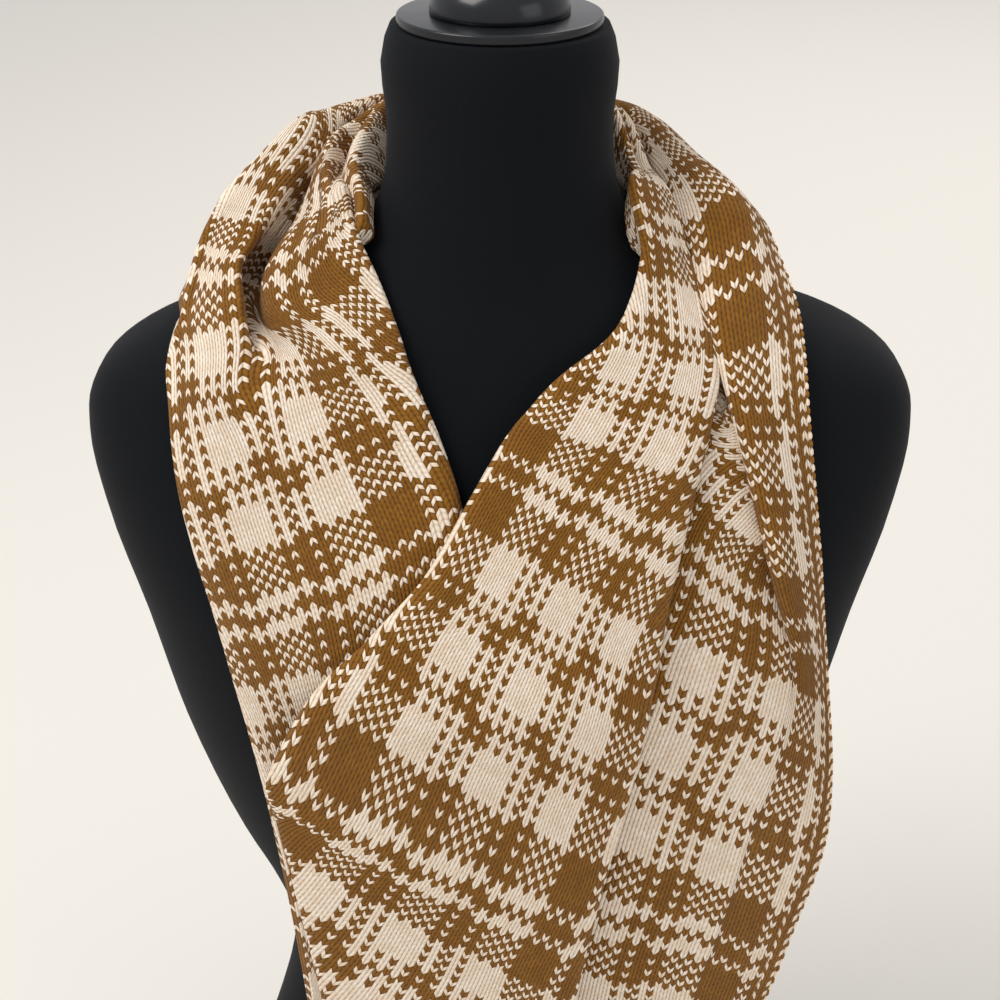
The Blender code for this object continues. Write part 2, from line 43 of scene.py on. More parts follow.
# height, half width, depth in front, depth behind, squareness of the ring
FORM_RINGS = np.array((
    (0.000, 0.1590, 0.092, 0.098, 2.3),
    (0.006, 0.1620, 0.095, 0.101, 2.3),
    (0.050, 0.1630, 0.096, 0.103, 2.3),
    (0.110, 0.1480, 0.090, 0.098, 2.3),
    (0.158, 0.1325, 0.084, 0.090, 2.2),
    (0.196, 0.1225, 0.080, 0.085, 2.2),
    (0.235, 0.1180, 0.080, 0.083, 2.2),
    (0.275, 0.1295, 0.088, 0.086, 2.2),
    (0.317, 0.1460, 0.100, 0.090, 2.3),
    (0.392, 0.1690, 0.116, 0.098, 2.4),
    (0.452, 0.1830, 0.117, 0.104, 2.4),
    (0.512, 0.1990, 0.101, 0.104, 2.5),
    (0.545, 0.2035, 0.089, 0.098, 2.5),
    (0.565, 0.2005, 0.081, 0.091, 2.5),
    (0.580, 0.1895, 0.075, 0.084, 2.5),
    (0.593, 0.1680, 0.070, 0.077, 2.4),
    (0.604, 0.1360, 0.066, 0.071, 2.3),
    (0.614, 0.1110, 0.062, 0.066, 2.2),
    (0.625, 0.0870, 0.058, 0.061, 2.1),
    (0.640, 0.0675, 0.055, 0.057, 2.0),
    (0.660, 0.0565, 0.053, 0.054, 2.0),
    (0.690, 0.0525, 0.051, 0.053, 2.0),
    (0.732, 0.0525, 0.051, 0.053, 2.0),
    (0.738, 0.0500, 0.049, 0.051, 2.0),
))
RING_POINTS = 120
RINGS_PER_ROW = 4


def smooth_at(rows, at):
    """Every column of a table at one value of its first, on a smooth curve through its rows."""
    table = np.array(rows, float)
    knots = table[:, 0]
    slopes = np.diff(table, axis=0) / np.diff(knots)[:, None]
    lean = np.empty_like(table)
    lean[0] = slopes[0]
    lean[-1] = slopes[-1]
    before = np.diff(knots)[:-1, None]
    after = np.diff(knots)[1:, None]
    lean[1:-1] = (slopes[:-1] * after + slopes[1:] * before) / (before + after)
    i = int(np.clip(np.searchsorted(knots, at, side="right") - 1, 0, len(knots) - 2))
    width = knots[i + 1] - knots[i]
    t = (at - knots[i]) / width
    value = (2 * t**3 - 3 * t**2 + 1) * table[i] + (t**3 - 2 * t**2 + t) * width * lean[i]
    value = value + (3 * t**2 - 2 * t**3) * table[i + 1] + (t**3 - t**2) * width * lean[i + 1]
    return value[1:]


class Pattern:
    """A number that varies over a surface, so that its sums can be written as sums."""

    def __init__(self, finish, socket):
        self.finish = finish
        self.socket = socket

    def sum(self, operation, *others):
        return self.finish.node("ShaderNodeMath", {"operation": operation},
                                dict(enumerate((self, *others))))

    def __add__(self, other):
        return self.sum("ADD", other)

    __radd__ = __add__

    def __sub__(self, other):
        return self.sum("SUBTRACT", other)

    def __rsub__(self, other):
        return self * -1 + other

    def __mul__(self, other):
        return self.sum("MULTIPLY", other)

    __rmul__ = __mul__

    def __truediv__(self, other):
        return self.sum("DIVIDE", other)

    def __pow__(self, other):
        return self.sum("POWER", other)

    def __lt__(self, other):
        return self.sum("LESS_THAN", other)

    def __gt__(self, other):
        return self.sum("GREATER_THAN", other)

    def __abs__(self):
        return self.sum("ABSOLUTE")

    def floor(self):
        return self.sum("FLOOR")

    def fraction(self):
        return self.sum("FRACT")


class Finish:
    """A material and the nodes that give it its look."""

    def __init__(self, name, **constants):
        self.material = bpy.data.materials.new(name)
        self.material.use_nodes = True
        self.tree = self.material.node_tree
        self.shader = self.tree.nodes["Principled BSDF"]
        for socket, value in constants.items():
            self.shader.inputs[socket.replace("_", " ")].default_value = value

    def node(self, kind, settings, inputs, output=0):
        made = self.tree.nodes.new(kind)
        for setting, value in settings.items():
            if setting == "stops":
                ramp = made.color_ramp
                ramp.interpolation = "CONSTANT"
                for at, level in value:
                    stop = ramp.elements.new(at) if at > 0 else ramp.elements[0]
                    stop.color = (level, level, level, 1.0)
                ramp.elements.remove(ramp.elements[-1])
            else:
                setattr(made, setting, value)
        for socket, value in inputs.items():
            if isinstance(value, Pattern):
                self.tree.links.new(value.socket, made.inputs[socket])
            else:
                made.inputs[socket].default_value = value
        return Pattern(self, made.outputs[output])

    def blend(self, share, first, second):
        """A colour between two others."""
        return self.node("ShaderNodeMix", {"data_type": "RGBA", "blend_type": "MIX"},
                         {0: share, 6: first, 7: second}, 2)

    def tint(self, colour, level):
        """A colour made darker or lighter by a number."""
        grey = self.node("ShaderNodeCombineXYZ", {}, {0: level, 1: level, 2: level})
        return self.node("ShaderNodeVectorMath", {"operation": "MULTIPLY"}, {0: colour, 1: grey})

    def feed(self, socket, pattern):
        self.tree.links.new(pattern.socket, self.shader.inputs[socket])

    def bump(self, height, distance, strength):
        self.feed("Normal", self.node("ShaderNodeBump", {}, {
            "Height": height, "Distance": distance, "Strength": strength}))


def surface_mesh(name, corners, faces, material):
    """A smooth-shaded mesh object of one material, in its place."""
    mesh = bpy.data.meshes.new(name)
    mesh.from_pydata([tuple(corner) for corner in corners], [], faces)
    mesh.update()
    mesh.shade_smooth()
    mesh.materials.append(material)
    made = bpy.data.objects.new(name, mesh)
    bpy.context.scene.collection.objects.link(made)
    return made


jersey = Finish("black stretch jersey", Roughness=0.85, Sheen_Weight=0.03, Sheen_Roughness=0.5,
                Specular_IOR_Level=0.12)
spot = jersey.node("ShaderNodeTexCoord", {}, {}, "Object")
ribbed = jersey.node("ShaderNodeTexNoise", {}, {
    "Vector": jersey.node("ShaderNodeVectorMath", {"operation": "MULTIPLY"},
                          {0: spot, 1: (900.0, 900.0, 260.0)}),
    "Scale": 1.0, "Detail": 2.0})
lint = jersey.node("ShaderNodeTexNoise", {}, {"Vector": spot, "Scale": 22.0, "Detail": 4.0})
jersey.feed("Base Color", jersey.tint((0.0034, 0.0042, 0.0058), 0.72 + ribbed * 0.35 + lint * 0.3))
jersey.bump(ribbed, 0.0003, 0.35)

heights = np.concatenate([
    np.linspace(low, high, RINGS_PER_ROW, endpoint=False)
    for low, high in zip(FORM_RINGS[:-1, 0], FORM_RINGS[1:, 0])] + [FORM_RINGS[-1:, 0]])
rings = []
for height in heights:
    half, front, behind, square = smooth_at(FORM_RINGS, height)
    for k in range(RING_POINTS):
        turn = 2.0 * math.pi * k / RING_POINTS
        sine = math.sin(turn)
        cosine = math.cos(turn)
        across = math.copysign(abs(sine) ** (2.0 / square), sine) * half
        depth = behind if cosine < 0.0 else front
        forward = math.copysign(abs(cosine) ** (2.0 / square), cosine) * depth
        rings.append((across, -forward, height))
band_faces = []
for level in range(len(heights) - 1):
    for k in range(RING_POINTS):
        corner = level * RING_POINTS + k
        after = level * RING_POINTS + (k + 1) % RING_POINTS
        band_faces.append((corner, after, after + RING_POINTS, corner + RING_POINTS))
band_faces.append(tuple(range(RING_POINTS - 1, -1, -1)))
band_faces.append(tuple(range(len(rings) - RING_POINTS, len(rings))))
torso = surface_mesh("torso", rings, band_faces, jersey.material)
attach(torso, "root")
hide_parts("dress_form")

# The neck cap: a turned disc of dark plastic that closes the neck, with a low turned knob on it.
# Both are moulded, polished on a lathe and screwed on from below.
CAP_RADIUS = 0.047
CAP_FOOT = 0.7383
CAP_TOP = 0.7429
KNOB_RADIUS = 0.032
KNOB_FOOT = 0.7432
KNOB_HEIGHT = 0.022
RIM_ROUNDING = 0.0012
CAP_POINTS = 96

polish = Finish("polished dark plastic", Roughness=0.22, Specular_IOR_Level=0.3,
                Coat_Weight=0.1, Coat_Roughness=0.12)
haze = polish.node("ShaderNodeTexNoise", {}, {
    "Vector": polish.node("ShaderNodeTexCoord", {}, {}, "Object"), "Scale": 60.0, "Detail": 5.0})
polish.feed("Base Color", polish.tint((0.011, 0.012, 0.014), 0.7 + haze * 0.6))
polish.feed("Roughness", 0.16 + haze * 0.16)

disc_edge = [(CAP_RADIUS - RIM_ROUNDING * (1 - math.cos(t)),
              CAP_FOOT + RIM_ROUNDING * (1 - math.sin(t)))
             for t in np.linspace(math.pi / 2, 0, 6)]
disc_edge += [(radius, CAP_FOOT + CAP_TOP - height) for radius, height in disc_edge[::-1]]
disc_profile = [(0.0, CAP_FOOT), *disc_edge, (0.0, CAP_TOP)]
knob_profile = [(0.0, KNOB_FOOT), (KNOB_RADIUS, KNOB_FOOT), (KNOB_RADIUS, KNOB_FOOT + 0.002)]
knob_profile += [
    (KNOB_RADIUS * math.sin(t), KNOB_FOOT + KNOB_HEIGHT * math.cos(t) ** 0.8)
    for t in np.linspace(math.pi / 2 - 0.12, 0, 22)]
for piece_name, node_name, profile in (("cap_disc", "neck_cap_disc", disc_profile),
                                       ("cap_knob", "neck_cap_knob", knob_profile)):
    corners = []
    for radius, height in profile[1:-1]:
        for k in range(CAP_POINTS):
            turn = 2 * math.pi * k / CAP_POINTS
            corners.append((radius * math.sin(turn), -radius * math.cos(turn), height))
    foot_pole = len(corners)
    top_pole = foot_pole + 1
    last_ring = foot_pole - CAP_POINTS
    corners += [(0.0, 0.0, profile[0][1]), (0.0, 0.0, profile[-1][1])]
    faces = []
    for k in range(CAP_POINTS):
        after = (k + 1) % CAP_POINTS
        faces.append((foot_pole, after, k))
        faces.append((last_ring + k, last_ring + after, top_pole))
        for ring in range(0, last_ring, CAP_POINTS):
            above = ring + CAP_POINTS
            faces.append((ring + k, ring + after, above + after, above + k))
    turned = surface_mesh(piece_name, corners, faces, polish.material)
    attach(turned, "root")
    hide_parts(node_name)

# The right strand of the scarf: one knitted tube, pressed flat, that comes over the shoulder.
# Its outer edge runs down the side as a narrow band, a deep fold swallows the cloth beside it,
# and the broad front panel slants across the chest.

# course, then across and height of: the side edge, the narrow band's inner edge,
# the ridge of the long pleat, and the front panel's slanting edge
RIGHT_SECTIONS = (
    (-17, 0.128, 0.639, 0.087, 0.642, 0.080, 0.658, 0.061, 0.670),
    (-4, 0.139, 0.610, 0.096, 0.612, 0.088, 0.632, 0.066, 0.643),
    (9, 0.141, 0.575, 0.106, 0.581, 0.095, 0.606, 0.055, 0.617),
    (22, 0.146, 0.534, 0.117, 0.542, 0.093, 0.581, 0.027, 0.597),
    (36, 0.152, 0.490, 0.129, 0.498, 0.084, 0.545, 0.007, 0.577),
    (49, 0.160, 0.436, 0.142, 0.452, 0.074, 0.502, -0.011, 0.550),
    (62, 0.168, 0.376, 0.139, 0.407, 0.067, 0.458, -0.032, 0.516),
    (75, 0.168, 0.328, 0.125, 0.363, 0.059, 0.410, -0.058, 0.487),
    (89, 0.153, 0.277, 0.114, 0.314, 0.047, 0.352, -0.094, 0.443),
    (95, 0.147, 0.258, 0.109, 0.295, 0.042, 0.325, -0.110, 0.405),
    (102, 0.140, 0.239, 0.102, 0.272, 0.037, 0.295, -0.107, 0.385),
    (113, 0.131, 0.205, 0.096, 0.237, 0.032, 0.262, -0.098, 0.332),
    (124, 0.124, 0.172, 0.090, 0.203, 0.027, 0.232, -0.089, 0.274),
    (142, 0.114, 0.116, 0.082, 0.147, 0.022, 0.172, -0.082, 0.212),
    (160, 0.106, 0.060, 0.075, 0.090, 0.018, 0.113, -0.077, 0.152),
)
# course, lift of the side edge, lift of the band's inner edge, how far the cloth tucks back
# under the band, width of the pleat hidden under the ridge, lift of the front panel,
# width turned under at its edge, and how far forward side, band, ridge and edge stand there
RIGHT_LAYERS = (
    (-17, 0.006, 0.013, -0.002, 0.003, 0.012, 0.012, 0.002, 0.020, 0.016, 0.028),
    (-4, 0.006, 0.013, 0.000, 0.003, 0.012, 0.012, 0.034, 0.057, 0.034, 0.043),
    (9, 0.006, 0.013, 0.003, 0.004, 0.013, 0.014, 0.066, 0.079, 0.064, 0.062),
    (22, 0.006, 0.014, 0.006, 0.012, 0.014, 0.016, 0.075, 0.090, 0.079, 0.078),
    (36, 0.006, 0.013, 0.005, 0.018, 0.016, 0.018, 0.076, 0.093, 0.092, 0.084),
    (49, 0.006, 0.009, -0.002, 0.022, 0.018, 0.020, 0.000, 0.000, 0.000, 0.000),
    (62, 0.006, 0.007, -0.006, 0.024, 0.0195, 0.020, 0.000, 0.000, 0.000, 0.000),
    (160, 0.006, 0.006, -0.006, 0.020, 0.0195, 0.022, 0.000, 0.000, 0.000, 0.000),
)
# course, then the wale that lies at: the side edge, the band's inner edge, the bed of the fold
# beside it, the layer where it goes in under the ridge, the ridge, and the panel's edge
RIGHT_WALES = (
    (-17, -4, 11.5, 62, 64, 70, 80),
    (-4, -3.9, 10, 51, 60, 69.5, 80.5),
    (3, -3.7, 9.4, 43, 52, 69, 82.5),
    (9, -3.5, 9, 37, 44, 68.5, 85.5),
    (16, -3.5, 8.6, 32, 39.5, 68, 89),
    (22, -3.3, 8.4, 26, 38.5, 67.6, 91),
    (29, -3.2, 8.2, 18.5, 37, 66.5, 92),
    (36, -3, 8.2, 12.5, 35.5, 63.6, 92.5),
    (42, -2.8, 8.4, 10.8, 33.5, 60, 93),
    (49, -2.8, 8.8, 10.8, 31, 56.3, 93),
    (56, -2.8, 9, 10.8, 28.8, 53.3, 93),
    (69, -2.8, 9, 10.8, 27.5, 52, 93),
    (82, -2.8, 9, 10.8, 26.5, 50.5, 96.5),
    (89, -2.8, 9, 10.8, 26.5, 50.5, 98),
    (94, -2.8, 9, 10.8, 26.5, 49.5, 98),
    (102, -2.8, 9, 10.8, 26.5, 47.5, 93),
    (113, -2.8, 9, 10.8, 26.5, 46.7, 84),
    (124, -2.8, 9, 10.8, 26.5, 46, 75),
    (142, -2.8, 9, 10.8, 26.5, 46, 70),
    (160, -2.8, 9, 10.8, 26.5, 46, 66),
)
CLOTH_THICKNESS = 0.003
WALE_PITCH = 0.0036
COURSE_PITCH = 0.0032
UNDER_LIFT = 0.0046
LAYER_STEP = 0.0047
FOLD_REACH = 0.0024
CLEAR_OF_FORM = 0.0034
SOFT_BEND = 0.004            # how gently the cloth turns where it comes to lie on the chest
NECK_COLLAR = 0.0588
BAND_ARCH = (0.006, 0.011)
SHALLOWER_VALLEY = 0.004
WALL_WALES = 8.3             # wales on the wall between the valley and the ridge
FOLD_SHARE = 1.6             # cloth is hidden in a fold from this many times the room for it
FOLD_WALES = 1.5
STITCH_BUMP = 0.0011
FINE_STEPS = 4
RIGHT_ROWS = 236


def mix(a, b, share):
    return a + (b - a) * share


def ring_at(height):
    """Half width, depth in front, depth behind and squareness of the form at a height."""
    return [np.interp(height, FORM_RINGS[:, 0], FORM_RINGS[:, k]) for k in range(1, 5)]


def hanging_depth(across, height):
    """Forward reach of plumb cloth: the form's fullest place at or above a height."""
    half, depth, _, square = ring_at(np.linspace(height, max(height, 0.66), 40))
    reach = np.minimum(np.abs(across) / half, 1.0)
    return float(np.max(depth * (1.0 - reach**square) ** (1.0 / square)))


def on_front(across, height, lift, forward=0.0):
    """A point of the cloth on the front of the form, or standing off it near the neck."""
    depth = hanging_depth(across, height) + lift
    reach = 0.5 * (depth + forward + math.hypot(depth - forward, SOFT_BEND))
    return np.array([across, -reach, height])


def form_level(points):
    """Less than one inside the form, one on its surface."""
    half, front, behind, square = ring_at(points[:, 2])
    depth = np.where(points[:, 1] < 0.0, front, behind)
    return (np.abs(points[:, 0]) / half) ** square + (np.abs(points[:, 1]) / depth) ** square


def clear_form(points):
    """The points themselves, or where they come to lie once they are outside the form."""
    points = np.array(points)
    probe = 0.0005
    for _ in range(12):
        level = form_level(points)
        slope = np.stack([
            form_level(points + step) - form_level(points - step) for step in np.eye(3) * probe],
            axis=1) / (2.0 * probe)
        steepness = np.maximum(np.linalg.norm(slope, axis=1), 4.0)
        short = CLEAR_OF_FORM - (level - 1.0) / steepness
        push = np.clip(short + 0.0001, 0.0, 0.004) * (short > 0) * (points[:, 2] < FORM_RINGS[-1, 0])
        points = points + slope * (push / steepness)[:, None]
    return points


def smooth_through(section, steps):
    """A fine row through a section's points; where a fold hides cloth its wales are left out."""
    section = np.array(section)
    spans = np.sqrt(np.linalg.norm(np.diff(section[:, :3], axis=0), axis=1))
    knots = np.concatenate([[0.0], np.cumsum(spans)])
    places = [knots[0]]
    for i, count in enumerate(steps):
        places.extend(np.linspace(knots[i], knots[i + 1], count * FINE_STEPS + 1)[1:])
    rim = np.array((0.02, 0.07, 0.16, 0.32, 0.6))
    places = np.concatenate([
        places[:1], mix(places[0], places[1], rim), places[1:-1],
        mix(places[-1], places[-2], rim)[::-1], places[-1:]])
    rows = np.column_stack([knots, section[:, :3]])
    fine = np.array([smooth_at(rows, place) for place in places])
    length = np.concatenate([[0.0], np.cumsum(np.linalg.norm(np.diff(fine, axis=0), axis=1))])
    at_knots = np.interp(knots, places, length)
    wales = np.interp(length, at_knots, section[:, 3])
    for i in range(len(knots) - 1):
        inside = (places > knots[i]) & (places < knots[i + 1])
        change = section[i + 1, 3] - section[i, 3]
        room = (at_knots[i + 1] - at_knots[i]) / WALE_PITCH
        if abs(change) > FOLD_SHARE * room + FOLD_WALES:
            done = (length[inside] - at_knots[i]) / WALE_PITCH
            way = math.copysign(1.0, change)
            early = places[inside] < 0.5 * (knots[i] + knots[i + 1])
            wales[inside] = np.where(early, section[i, 3] + way * done,
                                     section[i + 1, 3] - way * (room - done))
    return np.column_stack([fine, wales])


def right_section(course):
    """Points and wales across the right strand, from its side edge to the panel's turned edge."""
    side_x, side_z, band_x, band_z, ridge_x, ridge_z, edge_x, edge_z = smooth_at(
        RIGHT_SECTIONS, course)
    (side_lift, band_lift, tuck, pleat, panel_lift, turn, side_forward, band_forward,
     ridge_forward, edge_forward) = smooth_at(RIGHT_LAYERS, course)
    side_w, band_w, bed_w, under_w, ridge_w, edge_w = smooth_at(RIGHT_WALES, course)
    folded = float(np.clip((course - 6.0) / 16.0, 0.0, 1.0))
    along = np.array([ridge_x - edge_x, ridge_z - edge_z])
    along = along / np.linalg.norm(along)
    arch = float(np.clip((6.0 - course) / 23.0, 0.0, 1.0))
    outward = np.array([side_x - band_x, side_z - band_z])
    outward = outward / np.linalg.norm(outward)

    def beside_ridge(inward, lift):
        return on_front(ridge_x - along[0] * inward, ridge_z - along[1] * inward, lift)

    def from_band(reach, lift):
        return on_front(band_x + outward[0] * reach, band_z + outward[1] * reach,
                        lift, band_forward - (band_lift - lift))

    valley_lift = UNDER_LIFT + 0.0005 + SHALLOWER_VALLEY * arch
    valley = from_band(tuck, valley_lift)
    ridge_top = on_front(ridge_x, ridge_z, panel_lift, ridge_forward)
    middle_lift = mix(UNDER_LIFT, panel_lift, 0.5)
    pleated = [
        beside_ridge(pleat, UNDER_LIFT),
        beside_ridge(pleat + FOLD_REACH, mix(UNDER_LIFT, middle_lift, 0.5)),
        beside_ridge(pleat, middle_lift),
        beside_ridge(0.002, middle_lift),
        beside_ridge(-FOLD_REACH, mix(middle_lift, panel_lift, 0.5)),
    ]
    shares = (0.3, 0.42, 0.54, 0.66, 0.82)
    plain = [mix(valley, ridge_top, share) + np.array([0.0, 0.004 * (1.0 - share), 0.0])
             for share in shares]
    hidden = [mix(a, b, folded) for a, b in zip(plain, pleated)]
    tip_w = under_w + pleat / WALE_PITCH
    pleated_w = [tip_w - 1.0, tip_w, tip_w + 1.0, ridge_w - 3.0, ridge_w - 1.5]
    hidden_w = [mix(ridge_w - (1.0 - share) * WALL_WALES, w, folded)
                for share, w in zip(shares, pleated_w)]
    points = [
        (on_front(side_x, side_z, side_lift, side_forward), side_w),
        (on_front(mix(side_x, band_x, 0.5) + BAND_ARCH[0] * arch,
                  mix(side_z, band_z, 0.5) + BAND_ARCH[1] * arch, mix(side_lift, band_lift, 0.8),
                  mix(side_forward, band_forward, 0.6)), mix(side_w, band_w, 0.5)),
        (from_band(0.0042, band_lift), band_w - 1.6),
        (from_band(0.0, mix(band_lift, valley_lift, 0.45)), band_w),
        (valley, bed_w),
        (on_front(*mix(valley, hidden[0], 0.5)[[0, 2]], UNDER_LIFT,
                  mix(-valley[1], ridge_forward, 0.2) - 0.002),
         mix(min(bed_w + 1.5, hidden_w[0]), mix(bed_w, hidden_w[0], 0.5), folded)),
        *zip(hidden, hidden_w),
        (on_front(ridge_x - along[0] * 0.003, ridge_z - along[1] * 0.003, panel_lift,
                  ridge_forward), ridge_w),
    ]
    for share in (0.3, 0.55, 0.8):
        forward = mix(ridge_forward, edge_forward, share)
        points.append((on_front(
            mix(ridge_x, edge_x, share), mix(ridge_z, edge_z, share), panel_lift, forward),
            mix(ridge_w, edge_w, share)))
    inside = 0.003
    under = panel_lift - LAYER_STEP
    width = math.dist((ridge_x, ridge_z), (edge_x, edge_z))

    def from_edge(inward, lift):
        forward = mix(edge_forward, ridge_forward, max(inward, 0.0) / width)
        return on_front(edge_x + along[0] * inward, edge_z + along[1] * inward,
                        lift, forward - (panel_lift - lift))

    points.append((from_edge(inside, panel_lift), edge_w - 1.2))
    points.append((from_edge(-0.0005, mix(under, panel_lift, 0.5)), edge_w))
    rolled = float(np.clip((-1.0 - course) / 12.0, 0.0, 1.0))
    collar = np.array([NECK_COLLAR, 0.006 - edge_forward, edge_z - 0.020])
    hanging = mix(np.array([edge_x, 0.003 - edge_forward, edge_z - 0.003]), collar, 0.3)
    points.append((mix(from_edge(inside, under), hanging, rolled), edge_w + 1.2))
    points.append((mix(from_edge(turn, under), collar, rolled), edge_w + 1 + turn / WALE_PITCH))
    return [(*point, wale) for point, wale in points]


RIGHT_STEPS = (2, 2, 1, 2, 2, 2, 1, 1, 1, 1, 1, 3, 3, 3, 3, 1, 1, 2)


def strand_rows(section, steps, first, last, count):
    """Fine rows over one strand, each clear of the form: points and wales, and the courses."""
    courses = np.linspace(first, last, count)
    rows = np.array([smooth_through(section(course), steps) for course in courses])
    rows[..., :3] = clear_form(rows[..., :3].reshape(-1, 3)).reshape(rows[..., :3].shape)
    return rows, courses


right_rows, right_courses = strand_rows(right_section, RIGHT_STEPS, -17, 160, RIGHT_ROWS)

# The left strand: the scarf's other end, which comes over the other shoulder, is gathered into
# a lip and a cone there, and passes under the front panel.

# course, then across and height of: the outer fold, the lip of the band, the valley,
# the middle of the inner part, and its inner fold
LEFT_SECTIONS = (
    (-24, -0.131, 0.656, -0.109, 0.652, -0.097, 0.640, -0.086, 0.655, -0.073, 0.665),
    (-17, -0.138, 0.643, -0.115, 0.643, -0.101, 0.628, -0.088, 0.650, -0.071, 0.660),
    (-10, -0.144, 0.627, -0.121, 0.634, -0.106, 0.620, -0.092, 0.637, -0.069, 0.654),
    (-4, -0.148, 0.610, -0.119, 0.622, -0.108, 0.612, -0.090, 0.622, -0.064, 0.645),
    (3, -0.154, 0.592, -0.117, 0.605, -0.105, 0.602, -0.080, 0.612, -0.055, 0.629),
    (9, -0.152, 0.578, -0.119, 0.589, -0.104, 0.593, -0.074, 0.600, -0.048, 0.615),
    (16, -0.150, 0.555, -0.118, 0.568, -0.098, 0.575, -0.068, 0.587, -0.042, 0.599),
    (29, -0.143, 0.518, -0.112, 0.531, -0.089, 0.540, -0.059, 0.554, -0.029, 0.570),
    (42, -0.133, 0.480, -0.103, 0.492, -0.080, 0.502, -0.048, 0.518, -0.018, 0.536),
    (55, -0.124, 0.441, -0.097, 0.452, -0.075, 0.461, -0.044, 0.475, -0.014, 0.492),
    (68, -0.116, 0.400, -0.091, 0.410, -0.070, 0.418, -0.041, 0.430, -0.013, 0.444),
    (90, -0.106, 0.330, -0.083, 0.338, -0.063, 0.345, -0.037, 0.355, -0.012, 0.366),
    (115, -0.098, 0.250, -0.077, 0.256, -0.058, 0.262, -0.034, 0.270, -0.010, 0.279),
    (140, -0.093, 0.170, -0.073, 0.175, -0.054, 0.180, -0.031, 0.187, -0.008, 0.195),
    (163, -0.090, 0.097, -0.070, 0.102, -0.052, 0.106, -0.029, 0.112, -0.007, 0.118),
)
# course, how far the outer fold stands forward, then lip, valley, middle and inner fold;
# lift of the lip, of the valley, of the middle, how far the hidden layer is tucked in,
# and how deep the hollow behind the lip is, as a share of the deepest
LEFT_LAYERS = (
    (-24, -0.004, 0.014, 0.006, 0.014, 0.018, 0.010, 0.004, 0.010, -0.016, 0.45),
    (-17, 0.004, 0.022, 0.010, 0.026, 0.024, 0.010, 0.004, 0.011, -0.015, 0.95),
    (-10, 0.016, 0.034, 0.016, 0.042, 0.032, 0.010, 0.004, 0.012, -0.012, 1.0),
    (-4, 0.031, 0.048, 0.030, 0.053, 0.042, 0.010, 0.004, 0.012, -0.004, 0.8),
    (3, 0.046, 0.060, 0.052, 0.064, 0.052, 0.010, 0.0045, 0.012, 0.014, 0.2),
    (9, 0.060, 0.070, 0.067, 0.073, 0.063, 0.010, 0.007, 0.011, 0.028, 0.0),
    (16, 0.071, 0.076, 0.076, 0.076, 0.072, 0.0090, 0.0082, 0.0095, 0.034, 0.0),
    (29, 0.080, 0.085, 0.086, 0.085, 0.080, 0.0082, 0.0082, 0.0082, 0.036, 0.0),
    (42, 0.050, 0.050, 0.050, 0.050, 0.050, 0.0082, 0.0082, 0.0082, 0.036, 0.0),
    (163, 0.000, 0.000, 0.000, 0.000, 0.000, 0.0082, 0.0082, 0.0082, 0.036, 0.0),
)
HOLLOW_UNDER_LIP = (-0.006, 0.014, -0.014)
HOLLOW_BED = (-0.009, 0.016, -0.012)
HOLLOW_FAR_SIDE = (-0.007, -0.010, 0.003)
# course, then the wale that lies at the outer fold, the lip, the valley, the middle
# and the inner fold
LEFT_WALES = (
    (-24, 68.5, 78, 86, 97, 110),
    (-17, 68, 77, 86, 97, 110),
    (-10, 67, 77, 85.5, 96.5, 110),
    (-4, 67, 77, 85, 96, 108),
    (3, 63, 77, 79, 93.5, 106),
    (9, 63, 76.5, 79.5, 91, 103),
    (16, 63, 73.7, 80.3, 90.3, 99),
    (29, 62, 72, 79.5, 88.5, 97),
    (42, 61, 71, 78, 87.5, 96),
    (55, 58.5, 69, 77, 86.5, 96),
    (68, 57, 68, 76, 86, 96),
    (163, 57, 68, 76, 86, 96),
)
LEFT_TOP_LIFT = 0.0086
LEFT_ROWS = 234


